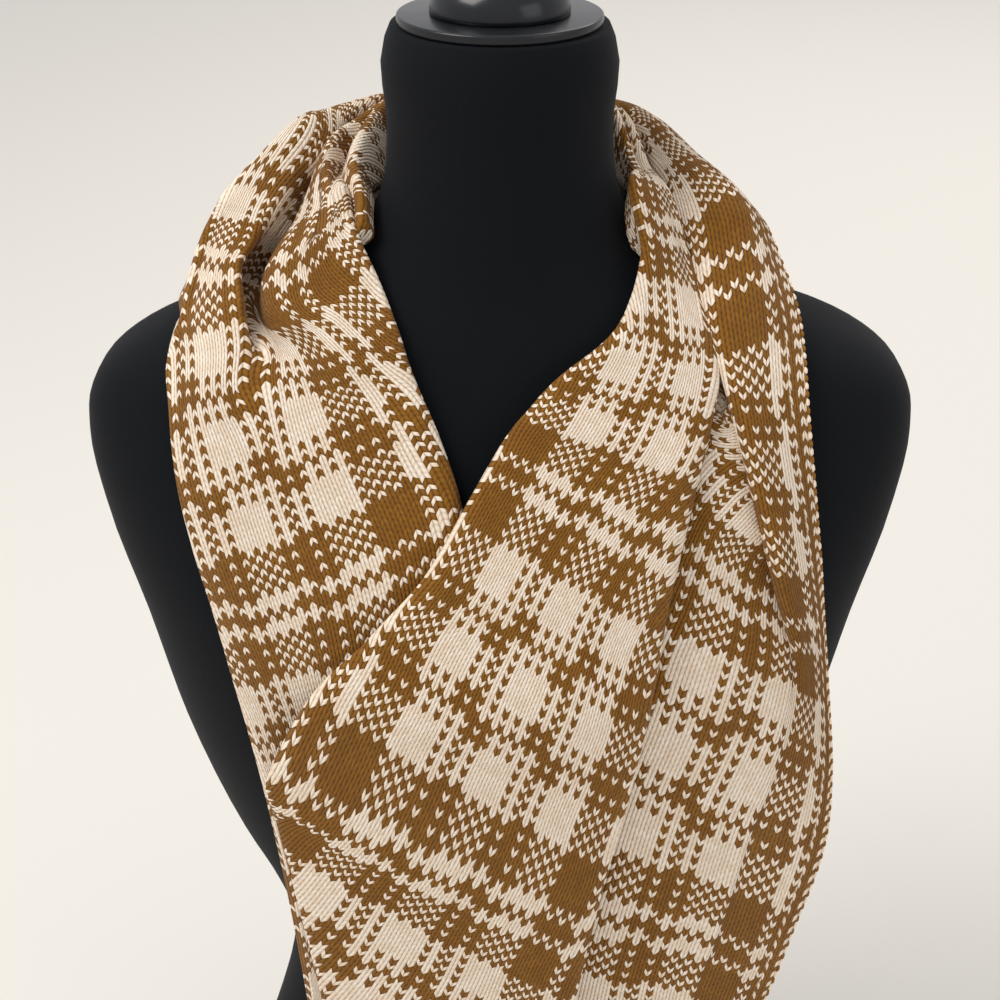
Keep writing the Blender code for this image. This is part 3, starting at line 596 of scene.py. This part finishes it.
def left_section(course):
    """Points and wales across the left strand, from the layer tucked under its outer fold."""
    (outer_x, outer_z, lip_x, lip_z, valley_x, valley_z,
     middle_x, middle_z, inner_x, inner_z) = smooth_at(LEFT_SECTIONS, course)
    (outer_forward, lip_forward, valley_forward, middle_forward, inner_forward,
     lip_lift, valley_lift, middle_lift, tuck, hollow) = smooth_at(LEFT_LAYERS, course)
    outer_w, lip_w, valley_w, middle_w, inner_w = smooth_at(LEFT_WALES, course)
    top = LEFT_TOP_LIFT
    under = top - LAYER_STEP
    slope = np.array([lip_x - outer_x, lip_z - outer_z])
    slope = slope / np.linalg.norm(slope)
    lean = np.array([inner_x - middle_x, inner_z - middle_z])
    lean = lean / np.linalg.norm(lean)

    def from_outer(inward, lift, forward):
        return on_front(outer_x + slope[0] * inward, outer_z + slope[1] * inward, lift, forward)

    def from_inner(inward, lift, forward):
        return on_front(inner_x - lean[0] * inward, inner_z - lean[1] * inward, lift, forward)

    inner = from_inner(0.0, top, inner_forward - LAYER_STEP)
    collar = np.array([-NECK_COLLAR, -max(inner_forward - 0.004, 0.0), inner_z - 0.009])
    rolled = float(np.clip((-4.0 - course) / 6.0, 0.0, 1.0))
    if tuck < 0.003:
        share = float(np.clip((0.003 - tuck) / 0.018, 0.0, 1.0))
        hem = from_outer(tuck, under, outer_forward - 0.010)
        hem[2] = mix(hem[2], 0.600, share)
        hem[1] = hem[1] + 0.012 * share
        start = [hem, mix(hem, from_outer(0.001, under + 0.002, outer_forward), 0.55)]
    else:
        start = [from_outer(tuck, under, 0.0), from_outer(0.003, under, 0.0)]
    hidden_w = outer_w - max(abs(tuck), 0.010) / WALE_PITCH
    lip = on_front(lip_x, lip_z, lip_lift, lip_forward)
    valley = on_front(valley_x, valley_z, valley_lift, valley_forward)
    middle = on_front(middle_x, middle_z, middle_lift, middle_forward)
    under_lip = mix(mix(lip, valley, 0.5), lip + HOLLOW_UNDER_LIP, hollow)
    far_side = mix(mix(valley, middle, 0.5), mix(valley, middle, 0.5) + HOLLOW_FAR_SIDE, hollow)
    valley = mix(valley, valley + HOLLOW_BED, hollow)
    bulge = mix(inner, collar, 0.6) + np.array([0.0, -0.004, 0.007])
    points = [
        (start[0], hidden_w),
        (start[1], outer_w - 1.2),
        (from_outer(0.0, mix(under, top, 0.5), outer_forward), outer_w),
        (from_outer(0.004, top, outer_forward + 0.001), outer_w + 1.2),
        (on_front(mix(outer_x, lip_x, 0.55), mix(outer_z, lip_z, 0.55) + 0.001, top + 0.001,
                  mix(outer_forward, lip_forward, 0.6) + 0.004), mix(outer_w, lip_w, 0.55)),
        (lip, lip_w),
        (under_lip, mix(lip_w, valley_w, 0.5)),
        (valley, valley_w),
        (far_side, mix(valley_w, middle_w, 0.5)),
        (middle, middle_w),
        (on_front(mix(middle_x, inner_x, 0.6), mix(middle_z, inner_z, 0.6), top,
                  mix(middle_forward, inner_forward, 0.6) + 0.001), mix(middle_w, inner_w, 0.6)),
        (from_inner(0.0025, top, inner_forward), inner_w - 1.1),
        (from_inner(-0.0006, mix(under, top, 0.5), inner_forward - LAYER_STEP / 2), inner_w),
        (mix(from_inner(0.0025, under, inner_forward - LAYER_STEP),
             mix(inner, collar, 0.2) + np.array([0.0, 0.003, -0.003]), rolled), inner_w + 1.1),
        (mix(from_inner(0.011, under, inner_forward - LAYER_STEP), bulge, rolled),
         inner_w + 3.3),
        (mix(from_inner(0.020, under, inner_forward - LAYER_STEP), collar, rolled),
         inner_w + 6.0),
    ]
    return [(*point, wale) for point, wale in points]


LEFT_STEPS = (3, 1, 1, 3, 3, 2, 3, 2, 3, 3, 3, 1, 1, 2, 1)
left_rows, left_courses = strand_rows(left_section, LEFT_STEPS, -24, 163, LEFT_ROWS)

# The stretch round the back of the neck, which stands up as a soft collar and joins the two
# strands: the same strip with one long furrow in it, its outer part falling over the shoulders
# and its inner part rolled down beside the neck.

# line of the neck stretch, and the fine columns of the right and the left strand that meet it
NECK_LINES = (
    (0, 0, 0),
    (14, 5, 21),
    (28, 13, 35),
    (42, 21, 49),
    (50, 27, 57),
    (60, 36, 69),
    (78, 69, 89),
    (90, 92, 103),
    (104, 117, 117),
    (110, 121, 121),
    (116, 125, 126),
    (126, 131, 132),
    (138, 138, 138),
)
# course, turn from the front toward +X, then distance from the neck's axis and height of:
# the outer end, its middle, the outer edge, the outer part's middle, the furrow's outer lip,
# the furrow, the inner part's crest, the crease inside it, the roll by the neck, and its end
NECK_SECTIONS = (
    (37, 108, 0.127, 0.607, 0.119, 0.640, 0.1035, 0.662, 0.092, 0.671, 0.0815, 0.6665,
     0.079, 0.653, 0.0745, 0.664, 0.069, 0.664, 0.0640, 0.668, 0.0588, 0.642),
    (50, 125, 0.122, 0.604, 0.116, 0.640, 0.1010, 0.667, 0.091, 0.680, 0.0840, 0.6810,
     0.081, 0.671, 0.0755, 0.682, 0.070, 0.682, 0.0645, 0.684, 0.0588, 0.645),
    (67, 150, 0.118, 0.592, 0.117, 0.628, 0.1080, 0.659, 0.098, 0.677, 0.0890, 0.6830,
     0.086, 0.673, 0.0780, 0.687, 0.071, 0.689, 0.0650, 0.688, 0.0588, 0.645),
    (90, 188, 0.116, 0.588, 0.117, 0.623, 0.1100, 0.655, 0.100, 0.674, 0.0900, 0.6820,
     0.087, 0.671, 0.0790, 0.687, 0.071, 0.689, 0.0650, 0.688, 0.0588, 0.645),
    (110, 222, 0.119, 0.597, 0.118, 0.632, 0.1060, 0.664, 0.097, 0.681, 0.0890, 0.6860,
     0.086, 0.675, 0.0790, 0.687, 0.072, 0.686, 0.0650, 0.689, 0.0588, 0.645),
    (125, 238, 0.122, 0.604, 0.121, 0.642, 0.1080, 0.671, 0.099, 0.683, 0.0900, 0.6820,
     0.088, 0.667, 0.0830, 0.680, 0.075, 0.674, 0.0670, 0.686, 0.0588, 0.648),
    (143, 254, 0.126, 0.610, 0.124, 0.645, 0.1130, 0.670, 0.103, 0.680, 0.0930, 0.6700,
     0.091, 0.652, 0.0865, 0.673, 0.078, 0.661, 0.0685, 0.677, 0.0588, 0.650),
)
# course, then the wale at each of those ten places
NECK_WALES = (
    (37, -20, -12, -4, 3, 11, 63, 70, 74, 78, 87),
    (90, -32, -23, -14, -9, -5, 75, 83, 87, 91, 102),
    (143, -44, -35, -26, -22, -18, 84, 95, 101, 107, 114),
)
NECK_PLACES = (0, 7, 14, 28, 42, 60, 78, 104, 124, 138)
FURROW_JUMP = 52.5           # where the wales jump, in the depth of the furrow
TUBE_WALES = 96
LEFT_OFFSET = 180            # courses of the neck's count where the left strand's count is 0
NECK_ENDS = (17, 156)
NECK_ROWS = 180
GHOST_ROWS = 10
lines = np.arange(139)


def turned_row(row, behind):
    """A row of a strand along the neck's lines: turn, distance, height and wale."""
    columns = np.interp(lines, [line[0] for line in NECK_LINES], [line[behind] for line in NECK_LINES])
    known = np.arange(len(row))
    x, y, z = (np.interp(columns, known, row[:, k]) for k in range(3))
    turn = np.degrees(np.arctan2(x, -y)) % 360.0
    wales = np.interp(columns, known, row[:, 3])
    stepped = row[np.round(columns).astype(int), 3]
    wales = np.where(np.abs(lines - FURROW_JUMP) < 6, stepped, wales)
    if behind == 2:
        wales = wales - TUBE_WALES * (lines < FURROW_JUMP)
    return np.column_stack([turn, np.hypot(x, y), z, wales])


def neck_row(section, wales):
    """One row of the neck stretch behind the neck: turn, distance, height and wale."""
    radius, height = np.array(section[2:]).reshape(-1, 2).T
    shape = np.column_stack([NECK_PLACES, radius, height])
    curve = np.array([smooth_at(shape, line) for line in lines])
    outer = lines < FURROW_JUMP
    count = 5
    near = np.interp(lines, (*NECK_PLACES[:count], FURROW_JUMP), (*wales[:count], wales[4] + 2.8))
    far = np.interp(lines, (FURROW_JUMP, *NECK_PLACES[count:]), (wales[5] - 1.1, *wales[count:]))
    stitches = np.where(outer, near, far)
    return np.column_stack([np.full(len(lines), section[1]), curve, stitches])


neck_keys = []
for back in (GHOST_ROWS, 0):
    neck_keys.append((-right_courses[back], *np.ravel(turned_row(right_rows[back], 1))))
for section in NECK_SECTIONS:
    neck_keys.append((section[0], *np.ravel(
        neck_row(section, smooth_at(NECK_WALES, section[0])))))
for back in (0, GHOST_ROWS):
    neck_keys.append((LEFT_OFFSET + left_courses[back], *np.ravel(turned_row(left_rows[back], 2))))
neck_courses = np.linspace(*NECK_ENDS, NECK_ROWS)
neck_rows = np.array([smooth_at(neck_keys, course) for course in neck_courses])
neck_rows = neck_rows.reshape(NECK_ROWS, -1, 4)
turn = np.radians(neck_rows[..., 0])
radius = neck_rows[..., 1].copy()
neck_rows[..., 0] = radius * np.sin(turn)
neck_rows[..., 1] = -radius * np.cos(turn)
neck_rows[1:-1, :, :3] = clear_form(
    neck_rows[1:-1, :, :3].reshape(-1, 3)).reshape(neck_rows[1:-1, :, :3].shape)

# The knit itself: a plain knitted tube in ochre brown and cream wool, with a check of brown and
# cream blocks and flecked blocks where the two meet.  Each stitch is a small V whose point is
# toward the right strand's end, with shade along its legs and in the gaps between them painted into
# its colour.
BROWN_WOOL = (0.262, 0.106, 0.0080, 1.0)
BROWN_WOOL_LIGHT = (0.315, 0.137, 0.0130, 1.0)
BROWN_WOOL_DEEP = (0.230, 0.088, 0.0065, 1.0)
CREAM_WOOL = (0.92, 0.735, 0.550, 1.0)
CREAM_WOOL_LIGHT = (0.95, 0.81, 0.655, 1.0)
CHECK_WALES = 48
CHECK_COURSES = 53
STITCH_LEAN = 0.65           # how many courses the legs of a stitch rise from its point
CREAM_LEG = 0.37             # half the height of a cream leg that lies between brown ones
# wales where the tube's side edge has its ticks, where its brown rail ends and its beads end
EDGE_TICKS = -0.7
EDGE_RAIL = -2.0
EDGE_END = -3.3
# first wale or course of each run in one repeat of the check, 1 for brown and 0 for cream
WALE_RUNS = (
    (0, 1), (1, 0), (3, 1), (9, 0), (15, 1), (16, 0), (17, 1), (19, 0), (20, 1), (21, 0),
    (27, 1), (28, 0), (29, 1), (31, 0), (32, 1), (33, 0), (39, 1), (45, 0), (47, 1),
)
COURSE_RUNS = (
    (0, 0), (7, 1), (8, 0), (9, 1), (11, 0), (12, 1), (13, 0), (20, 1), (21, 0), (22, 1),
    (24, 0), (25, 1), (26, 0), (33, 1), (40, 0), (42, 1), (44, 0), (46, 1),
)

wool = Finish("two colour knit", Roughness=0.92, Sheen_Weight=0.08, Sheen_Roughness=0.55,
              Specular_IOR_Level=0.2)
stitch_map = wool.node("ShaderNodeUVMap", {"uv_map": "stitches"}, {})
wale = wool.node("ShaderNodeSeparateXYZ", {}, {0: stitch_map}, 0)
course = wool.node("ShaderNodeSeparateXYZ", {}, {0: stitch_map}, 1)
column = (wale + 0.5).floor()
away = abs(wale - column) * 2.0
climb = course + 0.5 + (away - 0.5) * STITCH_LEAN
row = climb.floor()
rise = climb - row


def run_level(finish, number, repeat, runs):
    """One where a wale or course is in a brown run of the repeat, else nothing."""
    place = ((number + 0.5) / repeat).fraction()
    return finish.node("ShaderNodeValToRGB", {
        "stops": [(start / repeat, level) for start, level in runs]}, {0: place})


def charted(finish, brown_wale, column, row):
    """One for a brown stitch of the check, nothing for a cream one."""
    brown_course = run_level(finish, row, CHECK_COURSES, COURSE_RUNS)
    both = brown_wale * brown_course
    neither = (1 - brown_wale) * (1 - brown_course)
    return both + (1 - both - neither) * (((column + row) / 2).fraction() < 0.25)


brown_wale = run_level(wool, column, CHECK_WALES, WALE_RUNS)
beside = row + (rise > 0.5) * 2 - 1
near_border = abs(rise - 0.5) > CREAM_LEG
overlapped = charted(wool, brown_wale, column, beside) * near_border
own = charted(wool, brown_wale, column, row)
checked = own + (1 - own) * overlapped
odd_course = (row / 2).fraction() > 0.25
inside_edge = wale > EDGE_TICKS
rail = (wale < EDGE_TICKS) * (wale > EDGE_RAIL)
bead = (wale < EDGE_RAIL) * (wale > EDGE_END)
past_edge = wale < EDGE_END
tick = (abs(wale - EDGE_TICKS) < 0.3) * odd_course
brown = checked * (inside_edge + past_edge) + rail + bead * odd_course
brown = brown * (1 - tick)

across_leg = 1 - (away * 2 - 1) ** 2
along_leg = 1 - (rise * 2 - 1) ** 2
leg = across_leg ** 0.5
# the corners between the legs of neighbouring stitches, where painted shade goes
painted_gap_shade = (1 - across_leg) * (1 - along_leg)
strand_place = wool.node("ShaderNodeCombineXYZ", {}, {0: wale * 9.0, 1: climb * 3.0, 2: 0.0})
fibre = wool.node("ShaderNodeTexNoise", {}, {"Vector": strand_place, "Scale": 1.0, "Detail": 3.0})
stitch_place = wool.node("ShaderNodeCombineXYZ", {}, {0: column, 1: row, 2: 0.0})
uneven = wool.node("ShaderNodeTexWhiteNoise", {"noise_dimensions": "2D"}, {"Vector": stitch_place})
ground = wool.node("ShaderNodeTexNoise", {}, {"Vector": stitch_map, "Scale": 0.09, "Detail": 2.0})
# Painted shade: each leg is darkened toward its sides and its ends, and more in the gaps between legs,
# where shade falls in the knit. The stitch and fibre noise multiplied in after it is the yarn's own
# uneven tone.
painted_shade_and_fleck = (0.62 + leg * 0.38) * (1 - painted_gap_shade * 0.55) * (0.86 + along_leg * 0.14)
painted_shade_and_fleck = painted_shade_and_fleck * (0.84 + uneven * 0.09 + fibre * 0.18)
brown_yarn = wool.blend(uneven, BROWN_WOOL, BROWN_WOOL_LIGHT)
brown_yarn = wool.blend(ground, brown_yarn, BROWN_WOOL_DEEP)
cream_yarn = wool.blend(uneven, CREAM_WOOL, CREAM_WOOL_LIGHT)
# the painted stitch shade is laid on the cream yarn at less than half strength, on the brown at full
# strength
wool.feed("Base Color", wool.blend(brown, wool.tint(cream_yarn, 0.42 + painted_shade_and_fleck * 0.58),
                                   wool.tint(brown_yarn, painted_shade_and_fleck)))
wool.bump(leg * (0.7 + along_leg * 0.3) + fibre * 0.25, STITCH_BUMP, 0.8)


def face_directions(strip):
    """The direction square to the cloth at each point of a grid."""
    across = np.gradient(strip, axis=1)
    along = np.gradient(strip, axis=0)
    square = np.cross(along, across)
    return square / np.linalg.norm(square, axis=2, keepdims=True)


def knit_piece(name, rows, facing, courses, hem_ends, node_name):
    """A wall of knit with rounded edges, with its wales and courses as its own map."""
    count, columns = rows.shape[:2]
    middle = rows[..., :3]
    half = np.full((count, columns), CLOTH_THICKNESS / 2)
    for line in (middle, middle[:, ::-1]):
        reach = np.cumsum(np.linalg.norm(np.diff(line[:, :12], axis=1), axis=2), axis=1)
        reach = np.clip(np.column_stack([np.zeros(count), reach]) / (CLOTH_THICKNESS / 2), 0, 1)
        round_off = np.maximum(np.sqrt(1 - (1 - reach) ** 2), 0.06)
        target = half[:, :12] if line is middle else half[:, ::-1][:, :12]
        target *= round_off
    sides = [middle + facing * half[..., None], middle - facing * half[..., None]]
    corners = np.concatenate([side.reshape(-1, 3) for side in sides])
    number = np.arange(count * columns).reshape(count, columns)
    back = number + count * columns
    quads = [
        np.stack([number[:-1, :-1], number[1:, :-1], number[1:, 1:], number[:-1, 1:]], -1),
        np.stack([back[:-1, :-1], back[:-1, 1:], back[1:, 1:], back[1:, :-1]], -1),
        np.stack([number[:-1, 0], back[:-1, 0], back[1:, 0], number[1:, 0]], -1),
        np.stack([number[:-1, -1], number[1:, -1], back[1:, -1], back[:-1, -1]], -1),
        np.stack([number[0, :-1], number[0, 1:], back[0, 1:], back[0, :-1]], -1),
        np.stack([number[-1, :-1], back[-1, :-1], back[-1, 1:], number[-1, 1:]], -1),
    ]
    faces = np.concatenate([quad.reshape(-1, 4) for quad in quads])
    made = surface_mesh(name, corners, faces.tolist(), wool.material)
    mesh = made.data
    layer = mesh.uv_layers.new(name="stitches")
    corner_numbers = np.empty(len(mesh.loops), np.int32)
    mesh.loops.foreach_get("vertex_index", corner_numbers)
    stitches = np.stack([rows[..., 3], np.repeat(courses[:, None], columns, 1)], -1).reshape(-1, 2)
    stitches = np.concatenate([stitches, stitches])
    layer.data.foreach_set("uv", stitches[corner_numbers].astype(np.float32).ravel())
    straight = np.zeros_like(corners)
    for end in hem_ends:
        straight[number[end]] = facing[end]
        straight[back[end]] = -facing[end]
    mesh.normals_split_custom_set_from_vertices(straight.tolist())
    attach(made, "root")
    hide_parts(node_name)


right_facing = face_directions(right_rows[::-1, :, :3])
left_facing = face_directions(left_rows[..., :3])
neck_facing = face_directions(neck_rows[..., :3])
for seam, strand, behind in ((0, right_facing[-1], 1), (-1, left_facing[0], 2)):
    columns = np.interp(lines, [line[0] for line in NECK_LINES], [line[behind] for line in NECK_LINES])
    for k in range(3):
        neck_facing[seam, :, k] = np.interp(columns, lines, strand[:, k])
knit_piece("scarf_right", right_rows[::-1], right_facing, right_courses[::-1], [-1],
           "scarf_right_strand")
knit_piece("scarf_left", left_rows, left_facing, -LEFT_OFFSET - left_courses, [0],
           "scarf_left_strand")
knit_piece("scarf_neck", neck_rows, neck_facing, -neck_courses, [0, -1],
           "scarf_neck_stretch")

# The edge of the tube: the stitches of the join stand out along the fold as small slanted beads,
# a cream one and a brown one in turn, worked with the same wool as the rest.
BEAD_LENGTH = 0.0038
BEAD_SIZE = (0.0027, 0.0014, 0.0016)
BEAD_SLANT = math.radians(38.0)


def yarn_finish(name, colour):
    """Wool of one colour for a stitch that stands out."""
    made = Finish(name, Roughness=0.92, Sheen_Weight=0.08, Sheen_Roughness=0.55,
                  Specular_IOR_Level=0.2)
    place = made.node("ShaderNodeTexCoord", {}, {}, "Object")
    hairs = made.node("ShaderNodeTexNoise", {}, {"Vector": place, "Scale": 900.0, "Detail": 3.0})
    made.feed("Base Color", made.tint(colour[:3], 0.78 + hairs * 0.4))
    made.bump(hairs, 0.0004, 0.6)
    return made.material


def beads_along(name, path):
    """Slanted beads in turn of two colours along a line of points."""
    mesh = bpy.data.meshes.new(name)
    mesh.from_pydata([tuple(point) for point in path], [(i, i + 1) for i in range(len(path) - 1)], [])
    made = bpy.data.objects.new(name, mesh)
    bpy.context.scene.collection.objects.link(made)
    tree = bpy.data.node_groups.new(name, "GeometryNodeTree")
    tree.interface.new_socket("Geometry", in_out="INPUT", socket_type="NodeSocketGeometry")
    spacing = tree.interface.new_socket("Spacing", in_out="INPUT", socket_type="NodeSocketFloat")
    tree.interface.new_socket("Geometry", in_out="OUTPUT", socket_type="NodeSocketGeometry")

    def step(kind, links, **settings):
        node = tree.nodes.new(kind)
        for setting, value in settings.items():
            setattr(node, setting, value)
        for socket, value in links.items():
            if isinstance(value, bpy.types.NodeSocket):
                tree.links.new(value, node.inputs[socket])
            else:
                node.inputs[socket].default_value = value
        return node.outputs

    given = step("NodeGroupInput", {})
    line = step("GeometryNodeMeshToCurve", {"Mesh": given["Geometry"]})[0]
    stops = step("GeometryNodeResampleCurve", {"Curve": line, "Length": given["Spacing"]},
                 mode="LENGTH")[0]
    points = step("GeometryNodeCurveToPoints", {"Curve": stops}, mode="EVALUATED")
    slanted = step("FunctionNodeRotateRotation", {
        "Rotation": points["Rotation"], "Rotate By": (0.0, math.pi / 2 - BEAD_SLANT, 0.0)},
        rotation_space="LOCAL")[0]
    ball = step("GeometryNodeMeshUVSphere", {"Segments": 8, "Rings": 5, "Radius": 1.0})[0]
    index = step("GeometryNodeInputIndex", {})[0]
    parity = step("FunctionNodeCompare", {2: step(
        "ShaderNodeMath", {0: index, 1: 2.0}, operation="MODULO")[0], 3: 1}, data_type="INT",
        operation="EQUAL")[0]
    others = step("FunctionNodeBooleanMath", {0: parity}, operation="NOT")[0]
    joined = step("GeometryNodeJoinGeometry", {})
    for chosen, material in ((parity, cream_bead), (others, brown_bead)):
        placed = step("GeometryNodeInstanceOnPoints", {
            "Points": points["Points"], "Selection": chosen, "Instance": ball,
            "Rotation": slanted, "Scale": BEAD_SIZE})[0]
        solid = step("GeometryNodeRealizeInstances", {"Geometry": placed})[0]
        coloured = step("GeometryNodeSetMaterial", {"Geometry": solid, "Material": material})[0]
        tree.links.new(coloured, joined[0].node.inputs[0])
    rounded = step("GeometryNodeSetShadeSmooth", {"Geometry": joined[0]})[0]
    step("NodeGroupOutput", {"Geometry": rounded})
    modifier = made.modifiers.new("beads", "NODES")
    modifier.node_group = tree
    modifier[spacing.identifier] = BEAD_LENGTH
    depsgraph = bpy.context.evaluated_depsgraph_get()
    shaped = bpy.data.meshes.new_from_object(made.evaluated_get(depsgraph))
    made.modifiers.clear()
    made.data = shaped
    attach(made, "root")


cream_bead = yarn_finish("cream edge stitch", CREAM_WOOL)
brown_bead = yarn_finish("brown edge stitch", BROWN_WOOL)
edge_line = np.concatenate([right_rows[::-1, 0, :3], neck_rows[1:52, 12, :3]])
outward = np.concatenate([right_rows[::-1, 0, :3] - right_rows[::-1, 10, :3],
                          neck_rows[1:52, 12, :3] - neck_rows[1:52, 26, :3]])
outward = outward / np.linalg.norm(outward, axis=1, keepdims=True)
beads_along("scarf_edge_beads", edge_line + outward * 0.0006)

# The floor, the light and the camera: a pale matt plaster floor, soft light from above, from the
# side and from behind, and the camera a little above the form, looking down on the chest.
plaster = Finish("pale floor", Roughness=0.9)
plaster.shader.inputs["Base Color"].default_value = (0.80, 0.77, 0.715, 1.0)
floor = surface_mesh("floor", [(-6, -6, 0), (6, -6, 0), (6, 8, 0), (-6, 8, 0)], [(0, 1, 2, 3)],
                     plaster.material)


def soft_light(name, place, target, size, power, colour):
    lamp = bpy.data.lights.new(name, "AREA")
    lamp.size = size
    lamp.energy = power
    lamp.color = colour
    made = bpy.data.objects.new(name, lamp)
    made.location = place
    made.rotation_euler = (Vector(target) - Vector(place)).to_track_quat("-Z", "Y").to_euler()
    bpy.context.scene.collection.objects.link(made)


soft_light("overhead light", (-1.1, -0.5, 2.1), (0.0, 0.0, 0.5), 0.9, 24.0, (1.0, 0.98, 0.95))
soft_light("back light", (1.2, 2.2, 2.6), (0.5, 2.0, 0.0), 1.6, 26.0, (1.0, 0.95, 0.87))
soft_light("side light", (2.2, -1.6, 1.6), (0.0, 0.0, 0.5), 1.6, 10.0, (0.97, 0.98, 1.0))
room = bpy.data.worlds.new("soft room")
room.use_nodes = True
room.node_tree.nodes["Background"].inputs["Color"].default_value = (0.98, 0.98, 1.0, 1.0)
room.node_tree.nodes["Background"].inputs["Strength"].default_value = 0.70
bpy.context.scene.world = room
bpy.context.scene.view_settings.view_transform = "Standard"

lens = bpy.data.cameras.new("camera")
lens.lens = 64.8
lens.sensor_width = 36.0
camera = bpy.data.objects.new("camera", lens)
camera.location = (0.0, -0.82, 0.925)
camera.rotation_euler = (math.radians(90.0 - 27.7), 0.0, 0.0)
bpy.context.scene.collection.objects.link(camera)
bpy.context.scene.camera = camera
